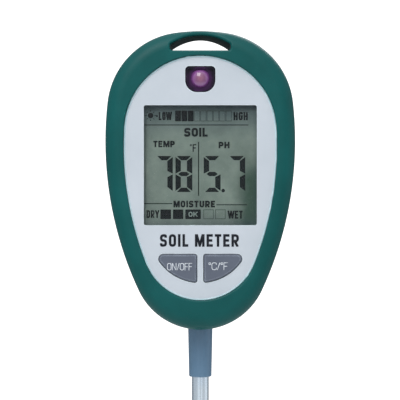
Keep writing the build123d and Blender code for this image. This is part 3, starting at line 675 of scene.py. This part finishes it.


# Name, dark and light tone, rubbed edge (on the grey plate also a painted highlight), range of roughness,
# grain, its depth, dust, share of rubbed edges.
green_case = moulded(
    "green case", "004b49", "015553", "2f7574", (0.4, 0.52), dust=0.15, Specular_IOR_Level=0.22
)
# The grey plate's light rubbed edges are partly wear and partly a painted highlight along its bevel.
grey_plate = moulded(
    "grey plate", "c0c7cd", "c8ced4", "e8f4f8", (0.32, 0.42), 3200.0, 0.00001, 0.1, 1.0,
    Specular_IOR_Level=0.4,
)
# Painted highlight: these pale cyan colours stand in for light caught on the face plate's bevel.
plate_edge_highlight = moulded("painted plate highlight", "a6c9d0", "b4d4da", "dcecf0", (0.3, 0.42), 3200.0, 0.000005, 0.1, 0.6)
grey_button = moulded("grey button", "555b68", "5c6371", "aab2be", (0.45, 0.58), 2400.0, 0.00002, 0.2, 0.9)
grey_collar = moulded("grey collar", "56748d", "5f7e97", "8aa4ba", (0.26, 0.34), 2400.0, 0.000004, 0.12)
black_plastic = moulded("black plastic", "121315", "1a1b1e", "3a3c40", (0.4, 0.55))
white_plastic = moulded("white plastic", "c9c9c4", "d4d4cf", "e6e6e2", (0.4, 0.55))
silicone = moulded("white silicone", "b9bcbb", "c6c8c7", "d2d4d3", (0.6, 0.75))
carbon = moulded("carbon rubber", "141414", "1c1c1c", "2c2c2c", (0.6, 0.8))
battery_jacket = moulded("battery jacket", "1b2530", "232f3c", "8d9195", (0.25, 0.4), 900.0, 0.000005, 0.1)
foam = moulded("door foam", "17181a", "232427", "2c2d30", (0.8, 0.95), 900.0, 0.0002, 0.4)
board_lacquer = moulded("board lacquer", "0d4a26", "125a30", "2c7a4c", (0.2, 0.35), 500.0, 0.00001, 0.2)
red_cover = moulded("red wire cover", "8e1414", "a01a18", "b84040", (0.35, 0.5))
white_cover = moulded("white wire cover", "bdbdba", "cacac6", "dcdcd8", (0.35, 0.5))
# Name, dark and light tone, roughness, stretch of the hairlines, their scale, depth and share in it.
steel = metal("zinc steel", "9fa4a8", "c3c7ca", 0.32, (1.0, 0.05, 1.0))
tin = metal("bright tin", "a9acae", "c9cbcc", 0.25, (0.05, 1.0, 1.0))
nickel = metal("polished nickel", "dceaf6", "f2fbff", 0.2, (1.0, 1.0, 0.012), 5000.0, 0.0000004, 0.06)
point_metal = metal("turned point", "84888c", "a4a8ab", 0.36, (0.02, 0.02, 1.0), 7000.0)
display_ground_painted_shade = make_display_with_painted_shade()
clear_lens = make_clear("clear lens", "f4f8f8", 0.02, 1.26)
display_ink = make_ink("display ink", "07090b", "0e1114")
ghost_ink = make_ink("unlit segment", "343d3a", "3d4643")
reversed_ink = make_ink("reversed sign", "7b867f", "87938b")
title_ink = make_ink("title ink", "11141c", "191d26")
white_ink = make_ink("white ink", "d6dbe0", "e6eaee", 0.5)
sensor_cup = make_sensor_cup()
sensor_dome = make_sensor_dome()

NODE_LOOKS = {
    "front_shell": green_case,
    "rear_shell": green_case,
    "battery_door": green_case,
    "door_latch": green_case,
    "face_plate": grey_plate,
    "display_window": clear_lens,
    "light_sensor_window": sensor_cup,
    "light_sensor_dome": sensor_dome,
    "power_button": grey_button,
    "unit_button": grey_button,
    "probe_collar": grey_collar,
    "probe_tube": nickel,
    "tip_insulator": black_plastic,
    "tip_electrode": point_metal,
    "lcd_front_glass": display_ground_painted_shade,
    "lcd_rear_glass": display_ground_painted_shade,
    "lcd_reflector": tin,
    "lcd_frame": white_plastic,
    "zebra_strips": silicone,
    "key_pad": silicone,
    "power_key_dome": silicone,
    "unit_key_dome": silicone,
    "power_key_pill": carbon,
    "unit_key_pill": carbon,
    "main_board": board_lacquer,
    "board_screws": steel,
    "case_screws": steel,
    "processor_chip": black_plastic,
    "amplifier_chip": black_plastic,
    "photodiode": black_plastic,
    "photodiode_legs": tin,
    "crystal_can": tin,
    "capacitors": tin,
    "chip_resistors": black_plastic,
    "battery": battery_jacket,
    "battery_terminals": tin,
    "battery_snap": black_plastic,
    "battery_lead_red": red_cover,
    "battery_lead_black": black_plastic,
    "door_foam": foam,
    "thermistor": black_plastic,
    "thermistor_lead_a": black_plastic,
    "thermistor_lead_b": black_plastic,
    "probe_lead_tip": white_cover,
    "probe_lead_tube": white_cover,
}

for name, node in nodes.items():
    node.data.materials.clear()
    node.data.materials.append(NODE_LOOKS[name])


# ---- display ----

lens_low, lens_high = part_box("display_window")
WINDOW = (lens_low + lens_high) / 2
INK_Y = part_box("lcd_front_glass")[0].y - INK_T / 2

DIGIT_H = 12.4 * MM
DIGIT_W = 5.8 * MM
UPRIGHT = 1.85 * MM      # width of an upright segment
LEVEL = 1.45 * MM        # height of a level one
NIP = LEVEL * 0.25       # how far an outer corner of a digit is cut back
SPLIT = 0.13 * MM        # half the gap between two segments
DIGIT_Z = WINDOW.z - 2.98 * MM
SEGMENTS = {"5": "afgcd", "7": "abc", "8": "abcdefg"}
FIGURES = (("7", -12.4), ("8", -5.66), ("5", 4.09), ("7", 12.6))     # each with its place across the window
POINT = (7.9, -8.7, 0.62)     # decimal point: x, z and radius


def disc(x, z, radius, vertices):
    """A flat round plate at the print's depth."""
    deselect()
    bpy.ops.mesh.primitive_circle_add(
        vertices=vertices, radius=radius, fill_type="NGON",
        location=(x, INK_Y, z), rotation=(pi / 2, 0, 0),
    )
    return fix_place(bpy.context.object)


def level_segment(long_side, short_side, z_long, z_short):
    """A level segment: a plate whose inner edge is drawn in to a shorter one."""
    height = abs(z_long - z_short)
    piece = sheet_piece("segment", 0, (z_long + z_short) / 2, long_side, height, INK_Y)
    choose(piece, "vertices", lambda spot, item: abs(spot.z - z_short) < height / 4)
    bpy.ops.transform.resize(value=(short_side / long_side, 1, 1), center_override=(0, INK_Y, z_short))
    finish_edit()
    return piece


def upright_segment(outer, inner, low, high, low_cut, high_cut):
    """An upright segment between two heights, with its inner corners cut back."""
    middle = (low + high) / 2
    piece = sheet_piece("segment", (outer + inner) / 2, middle, abs(outer - inner), high - low, INK_Y)
    for end, cut in ((low, low_cut), (high, -high_cut)):
        side = 1 if end > middle else -1
        choose(
            piece, "vertices",
            lambda spot, item: abs(spot.x - inner) < UPRIGHT / 4 and (spot.z - middle) * side > 0,
        )
        bpy.ops.transform.translate(value=(0, 0, cut))
        finish_edit()
    return piece


def digit(number, x):
    """One seven-segment figure, centred on x."""
    half_w, half_h = DIGIT_W / 2, DIGIT_H / 2
    inner_w = half_w - UPRIGHT
    parts = []
    for letter in SEGMENTS[number]:
        if letter in "ad":
            sign = 1 if letter == "a" else -1
            long_side = 2 * (half_w - NIP - SPLIT)
            short_side = 2 * (inner_w - SPLIT * 0.4)
            parts.append(level_segment(long_side, short_side, sign * half_h, sign * (half_h - LEVEL)))
        elif letter == "g":
            long_side = 2 * (inner_w + UPRIGHT * 0.5)
            for sign in (1, -1):
                parts.append(level_segment(long_side, 2 * inner_w * 0.95, 0.0, sign * LEVEL / 2))
        else:
            side = 1 if letter in "bc" else -1
            top = letter in "bf"
            low = SPLIT if top else -half_h + NIP
            high = half_h - NIP if top else -SPLIT
            end_cut = LEVEL * 0.75 + SPLIT * 2
            mid_cut = LEVEL * 0.5 + SPLIT * 1.6
            cuts = (mid_cut, end_cut) if top else (end_cut, mid_cut)
            parts.append(upright_segment(side * half_w, side * inner_w, low, high, *cuts))
    figure = join(parts, "figure_" + number)
    figure.location = (x, 0, DIGIT_Z)
    return fix_place(figure)


def make_digits():
    """The temperature and the pH, with its decimal point."""
    figures = [digit(number, WINDOW.x + x * MM) for number, x in FIGURES]
    x, z, radius = POINT
    figures.append(disc(WINDOW.x + x * MM, WINDOW.z + z * MM, radius * MM, 20))
    digits = join(figures, "display_digits")
    thicken(digits)
    return finished(digits, "case", display_ink)


def display_plate(x, z, width, height):
    """A printed rectangle placed from the window's middle, in millimetres."""
    return sheet_piece("plate", WINDOW.x + x * MM, WINDOW.z + z * MM, width * MM, height * MM, INK_Y)


DISPLAY_RULES = (        # middle x and z, width and height
    (-1.43, 13.92, 36.0, 0.3),
    (-14.54, -13.2, 9.8, 0.3),
    (10.9, -13.6, 10.7, 0.3),
    (-0.6, -1.2, 0.36, 18.6),
)


def make_display_rules():
    """The lines between the display's fields."""
    piece = join([display_plate(*rule) for rule in DISPLAY_RULES], "display_rules")
    thicken(piece)
    return finished(piece, "case", display_ink)


def frame_plate(x, z, width, height, line):
    """An outlined cell: a plate inset, with its middle taken out."""
    piece = display_plate(x, z, width, height)
    choose_all(piece, "polygons")
    bpy.ops.mesh.inset(thickness=line * MM, use_boundary=True)
    bpy.ops.mesh.delete(type="FACE")
    finish_edit()
    return piece


LIGHT_BAR = (-8.76, 17.03, 19.66, 3.7)     # left edge, height of its middle, width, height
LIGHT_CELLS = 9
LIGHT_LIT = 3
LIT_SHARE = 0.92         # share of its step that a lit cell fills
UNLIT_SHARE = 0.94       # and an unlit one
MOISTURE_LIT = ((-13.9, 3.95), (-9.55, 3.8), (-5.3, 5.6))     # left edge and width
MOISTURE_UNLIT = ((1.1, 3.5), (5.1, 3.6))
MOISTURE_Z = -16.87
MOISTURE_H = 3.3
CELL_GAP = 0.25
CELL_ROUND = 0.2
CELL_LINE = 0.2          # outline of an unlit cell
OK_SIGN = (3.1, 1.7, 0.34)     # width, height and pen


def make_lit_cells():
    """The cells that show a reading, in the light bar and the moisture bar."""
    left, z, width, height = LIGHT_BAR
    step = width / LIGHT_CELLS
    first = display_plate(left + step * 0.5, z, step * LIT_SHARE, height)
    cells = row_of(first, LIGHT_LIT, dx=step * MM)
    for start, wide in MOISTURE_LIT:
        cells.append(display_plate(start + wide / 2, MOISTURE_Z, wide - CELL_GAP, MOISTURE_H))
    piece = join(cells, "display_lit_cells")
    choose_all(piece)
    bpy.ops.mesh.bevel(offset=CELL_ROUND * MM, segments=2, affect="VERTICES")
    finish_edit()
    thicken(piece)
    return finished(piece, "case", display_ink)


def make_unlit_cells():
    """The outlines of the other cells."""
    left, z, width, height = LIGHT_BAR
    step = width / LIGHT_CELLS
    first = frame_plate(left + step * (LIGHT_LIT + 0.5), z, step * UNLIT_SHARE, height, CELL_LINE)
    cells = row_of(first, LIGHT_CELLS - LIGHT_LIT, dx=step * MM)
    for start, wide in MOISTURE_UNLIT:
        cells.append(frame_plate(start + wide / 2, MOISTURE_Z, wide, MOISTURE_H, CELL_LINE))
    piece = join(cells, "display_unlit_cells")
    thicken(piece)
    return finished(piece, "case", ghost_ink)


SUN = (-17.15, 17.15, 0.95)     # x, z and radius
SUN_RAYS = 8
RAY = (1.6, 0.22, 0.55)     # distance of its middle from the sun's, width and length


def make_sun_sign():
    """The light field's sign: a disc with rays round it."""
    x, z = WINDOW.x + SUN[0] * MM, WINDOW.z + SUN[1] * MM
    parts = [disc(x, z, SUN[2] * MM, 24)]
    ray = sheet_piece("ray", 0, RAY[0] * MM, RAY[1] * MM, RAY[2] * MM, INK_Y)
    parts += [copy_of(ray, x, z, i * 2 * pi / SUN_RAYS) for i in range(SUN_RAYS)]
    bpy.data.objects.remove(ray)
    piece = join(parts, "display_sun")
    thicken(piece)
    return finished(piece, "case", display_ink)


DISPLAY_WORDS = (        # middle x and z, width, height and pen
    ("-LOW", -12.6, 17.0, 5.3, 2.85, 0.52),
    ("HGH", 13.9, 16.95, 4.85, 2.8, 0.56),
    ("SOIL", -1.5, 11.4, 8.1, 3.05, 0.74),
    ("TEMP", -12.5, 7.35, 7.4, 2.2, 0.54),
    ("PH", 8.2, 7.0, 3.75, 2.2, 0.58),
    ("°F", -2.5, 6.0, 2.2, 2.6, 0.4),
    ("MOISTURE", -2.1, -13.35, 14.3, 2.3, 0.58),
    ("DRY", -16.4, -16.8, 4.3, 2.65, 0.5),
    ("WET", 12.1, -17.0, 5.0, 2.75, 0.54),
)


def make_display_words():
    words = []
    for i, (text, x, z, width, height, pen) in enumerate(DISPLAY_WORDS):
        place = (WINDOW.x + x * MM, WINDOW.z + z * MM, width * MM, height * MM)
        words.append(print_words(f"word_{i}", text, *place, INK_Y, pen * MM, spacing=0.55))
    piece = join(words, "display_words")
    return finished(piece, "case", display_ink)


def make_display_ok():
    """The reversed sign in the middle moisture cell."""
    start, wide = MOISTURE_LIT[2]
    x = WINDOW.x + (start + wide / 2) * MM
    z = WINDOW.z + MOISTURE_Z * MM
    width, height, pen = OK_SIGN
    piece = print_words("display_ok", "OK", x, z, width * MM, height * MM, INK_Y - INK_T, pen * MM)
    return finished(piece, "case", reversed_ink)


# ---- print on the plate and the buttons ----

PLATE_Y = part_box("face_plate")[0].y

TITLE = (-0.3, 48.3, 27.1, 4.3)     # middle x and z, width and height
TITLE_PEN = 0.85
BUTTON_PRINTS = (        # name, text, middle x and z, width, height and the button
    ("power_print", "ON/OFF", -7.1, 39.3, 8.6, 2.5, "power_button"),
    ("unit_print", "°C/°F", 6.15, 39.45, 6.6, 2.6, "unit_button"),
)
BUTTON_PEN = 0.22
BEVEL_NORMAL = (-0.8, -0.6)     # the Y of a normal on the plate's bevel is between these
HIGHLIGHT_FLAT = 0.2          # share of the bevel's depth that is kept
HIGHLIGHT_RISE = 0.12 * MM    # how far the line stands in front of the plate
HIGHLIGHT_T = 0.2 * MM


def make_title():
    """The generic title on the face plate."""
    place = [value * MM for value in TITLE]
    piece = print_words("title_print", "SOIL METER", *place, PLATE_Y - INK_T / 2, TITLE_PEN * MM)
    return finished(piece, "case", title_ink)


def make_button_print(name, text, x, z, width, height, body):
    """A button's name, which moves with the button."""
    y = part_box(body)[0].y - INK_T / 2
    place = (x * MM, z * MM, width * MM, height * MM)
    piece = print_words(name, text, *place, y, BUTTON_PEN * MM, curve=LIGHT_ROUND)
    return finished(piece, body, white_ink)


def make_painted_plate_highlight():
    """A pale cyan line round the face plate, a painted highlight of the light caught on the plate's bevel,
    made from the plate's own bevel: flattened, raised, thickened.
    """
    edge_highlight = welded_twin(nodes["face_plate"])
    steep, shallow = BEVEL_NORMAL
    choose(edge_highlight, "polygons", lambda spot, item: not steep < item.normal.y < shallow)
    bpy.ops.mesh.delete(type="FACE")
    finish_edit()
    choose_all(edge_highlight)
    bpy.ops.transform.resize(value=(1, HIGHLIGHT_FLAT, 1), center_override=(0, PLATE_Y, 0))
    bpy.ops.transform.translate(value=(0, -HIGHLIGHT_RISE, 0))
    finish_edit()
    thicken(edge_highlight, HIGHLIGHT_T)
    edge_highlight = join([edge_highlight], "plate_edge_highlight")
    return finished(edge_highlight, "case", plate_edge_highlight)


# ---- battery door grip and battery marks ----

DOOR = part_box("battery_door")[1]     # the top of the door and its outer face
GRIP_RIBS = 6
RIB = (12.0, 0.7, 0.9)     # width, depth and height
RIB_STEP = 1.9
RIB_DROP = 7.0           # from the door's top to the middle of the first rib
RIB_SINK = 0.02          # from the door's face in to a rib's middle
RIB_ROUND = 0.28
ARROW_R = 2.2
ARROW_T = 0.6
ARROW_DROP = 20.8
ARROW_SINK = 0.03
ARROW_ROUND = 0.2


def round_front(piece, radius):
    """Rounds the edges that stand out of the door's face."""
    choose(piece, "edges", lambda spot, item: spot.y > DOOR.y)
    bpy.ops.mesh.bevel(offset=radius * MM, segments=3, affect="EDGES")
    finish_edit()


def make_door_ribs():
    """Raised grip ribs below the latch, each a block with rounded edges."""
    deselect()
    bpy.ops.mesh.primitive_cube_add(size=1.0, location=(0, 0, 0))
    rib = bpy.context.object
    rib.scale = (RIB[0] * MM, RIB[1] * MM, RIB[2] * MM)
    rib.location = (0, DOOR.y - RIB_SINK * MM, DOOR.z - RIB_DROP * MM)
    fix_place(rib)
    round_front(rib, RIB_ROUND)
    piece = join(row_of(rib, GRIP_RIBS, dz=-RIB_STEP * MM), "door_ribs")
    return finished(piece, "battery_door", green_case)


def make_door_arrow():
    """A raised arrow head below the ribs."""
    deselect()
    bpy.ops.mesh.primitive_cylinder_add(
        vertices=3, radius=ARROW_R * MM, depth=ARROW_T * MM, location=(0, 0, 0)
    )
    arrow = bpy.context.object
    arrow.rotation_euler = (-pi / 2, 0, 0)
    fix_place(arrow)
    arrow.location = (0, DOOR.y - ARROW_SINK * MM, DOOR.z - ARROW_DROP * MM)
    fix_place(arrow)
    round_front(arrow, ARROW_ROUND)
    piece = join([arrow], "door_arrow")
    return finished(piece, "battery_door", green_case)


battery_low, battery_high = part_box("battery")
VOLTS = (13, 8, 1.5)     # width, height and pen
POLE = (2.6, 0.6)        # size and pen of a pole's sign
POLE_X = 6.3
POLE_DROP = 4


def make_battery_marks():
    """Generic print on the battery's back: its voltage and its poles."""
    y = battery_high.y + INK_T / 2
    middle = (battery_low + battery_high) / 2
    width, height, pen = (value * MM for value in VOLTS)
    marks = [print_words("volts", "9V", 0, middle.z, width, height, y, pen, back=True)]
    size, pen = (value * MM for value in POLE)
    z = battery_high.z - POLE_DROP * MM
    for name, sign, x in (("plus", "+", POLE_X), ("minus", "-", -POLE_X)):
        marks.append(print_words(name, sign, x * MM, z, size, size, y, pen, back=True))
    piece = join(marks, "battery_marks")
    return finished(piece, "case", white_ink)


# ---- the soft domes under the buttons ----


def make_soft_dome(button):
    """A copy of the rigid dome under a button, with its doubled vertices welded; the rigid one is hidden.
    """
    side = button.split("_")[0]
    rigid = side + "_key_dome"
    dome = join([welded_twin(nodes[rigid])], side + "_soft_dome")
    finished(dome, "case", silicone)
    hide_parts(rigid)
    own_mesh(dome)


make_soft_dome("power_button")
make_soft_dome("unit_button")
make_digits()
make_display_rules()
make_lit_cells()
make_unlit_cells()
make_sun_sign()
make_display_words()
make_display_ok()
make_painted_plate_highlight()
make_title()
for row in BUTTON_PRINTS:
    make_button_print(*row)
make_door_ribs()
make_door_arrow()
make_battery_marks()


# ---- studio ----

FLOOR_R = 0.5
FLOOR_GAP = 0.5 * MM     # from the probe's point down to the floor


def make_floor():
    """A round pale floor under the probe's point."""
    deselect()
    bpy.ops.mesh.primitive_circle_add(
        vertices=96, radius=FLOOR_R, fill_type="NGON", location=(0, 0, cad_low.z - FLOOR_GAP)
    )
    floor = fix_place(bpy.context.object)
    floor.name = "studio_floor"
    look, tree, shader = new_finish("pale floor", Roughness=0.8)
    tone = object_noise(tree, 8.0, 4.0)
    tree.links.new(mix_colour(tree, tone, rgb("e6e6e4"), rgb("eeeeec")), shader.inputs["Base Color"])
    floor.data.materials.append(look)


LAMPS = (        # name, place, aim, size, power and tint
    ("key box", (-0.22, -0.6, 0.7), (0, 0, 0.06), (0.5, 0.5), 3.6, (1, 1, 1)),
    ("back box", (0.3, 0.8, 0.7), (0, 0, 0.04), (0.6, 0.5), 3.0, (0.92, 0.96, 1)),
)


def make_lamp(name, place, aim, size, power, tint):
    """A soft box that looks at a point."""
    data = bpy.data.lights.new(name, "AREA")
    data.shape = "RECTANGLE"
    data.size, data.size_y = size
    data.energy = power
    data.color = tint
    lamp = bpy.data.objects.new(name, data)
    bpy.context.scene.collection.objects.link(lamp)
    lamp.location = place
    lamp.rotation_euler = (Vector(aim) - Vector(place)).to_track_quat("-Z", "Y").to_euler()


# The tent's light by direction: from below to above, from left to right and from front to back.
TENT_BY_HEIGHT = [(0.0, (0.25, 0.26, 0.27, 1)), (0.5, (0.6, 0.63, 0.67, 1)), (1.0, (0.92, 0.95, 1.0, 1))]
TENT_BY_SIDE = [(0.0, 0.62), (0.1, 0.6), (0.4, 1.0), (0.52, 1.0), (0.88, 0.6), (0.96, 0.75), (1.0, 1.0)]
TENT_BY_DEPTH = [
    (0.0, 0.4), (0.003, 0.5), (0.014, 1.0), (0.5, 1.0), (0.72, 0.55), (0.85, 0.6), (0.95, 0.3), (1.0, 0.12)
]
TENT_STRENGTH = 1.38


def tent_light(tree, way, stops):
    """The tent's light along one axis; a direction's part of -1 to 1 is turned into the ramp's 0 to 1."""
    return ramp(tree, math_node(tree, "MULTIPLY_ADD", way, 0.5, 0.5), stops, smooth=True)


def make_surroundings():
    """A white tent: the camera sees white, and the object a softer light with a dim front and back."""
    world = bpy.data.worlds.new("white tent")
    bpy.context.scene.world = world
    world.use_nodes = True
    tree = world.node_tree
    direction = put(tree, "ShaderNodeTexCoord").outputs["Generated"]
    way = put(tree, "ShaderNodeSeparateXYZ", {0: direction}).outputs
    above = tent_light(tree, way["Z"], TENT_BY_HEIGHT)
    side = tent_light(tree, way["X"], TENT_BY_SIDE)
    depth = tent_light(tree, way["Y"], TENT_BY_DEPTH)
    tent = mix_colour(tree, 1.0, mix_colour(tree, 1.0, above, side, "MULTIPLY"), depth, "MULTIPLY")
    seen = put(tree, "ShaderNodeLightPath").outputs["Is Camera Ray"]
    colour = mix_colour(tree, seen, tent, (1, 1, 1, 1))
    tree.links.new(colour, tree.nodes["Background"].inputs["Color"])
    tree.nodes["Background"].inputs["Strength"].default_value = TENT_STRENGTH


CAMERA_PLACE = (-0.1, -560, 62.2)
SENSOR_W = 36.0
LENS = 142.9


def make_camera():
    """Level with the middle of the head, in front of it."""
    data = bpy.data.cameras.new("camera")
    data.sensor_width = SENSOR_W
    data.lens = LENS
    camera = bpy.data.objects.new("camera", data)
    bpy.context.scene.collection.objects.link(camera)
    camera.location = [value * MM for value in CAMERA_PLACE]
    camera.rotation_euler = (pi / 2, 0, 0)
    bpy.context.scene.camera = camera


make_floor()
make_surroundings()
for row in LAMPS:
    make_lamp(*row)
make_camera()
bpy.context.scene.view_settings.view_transform = "Standard"
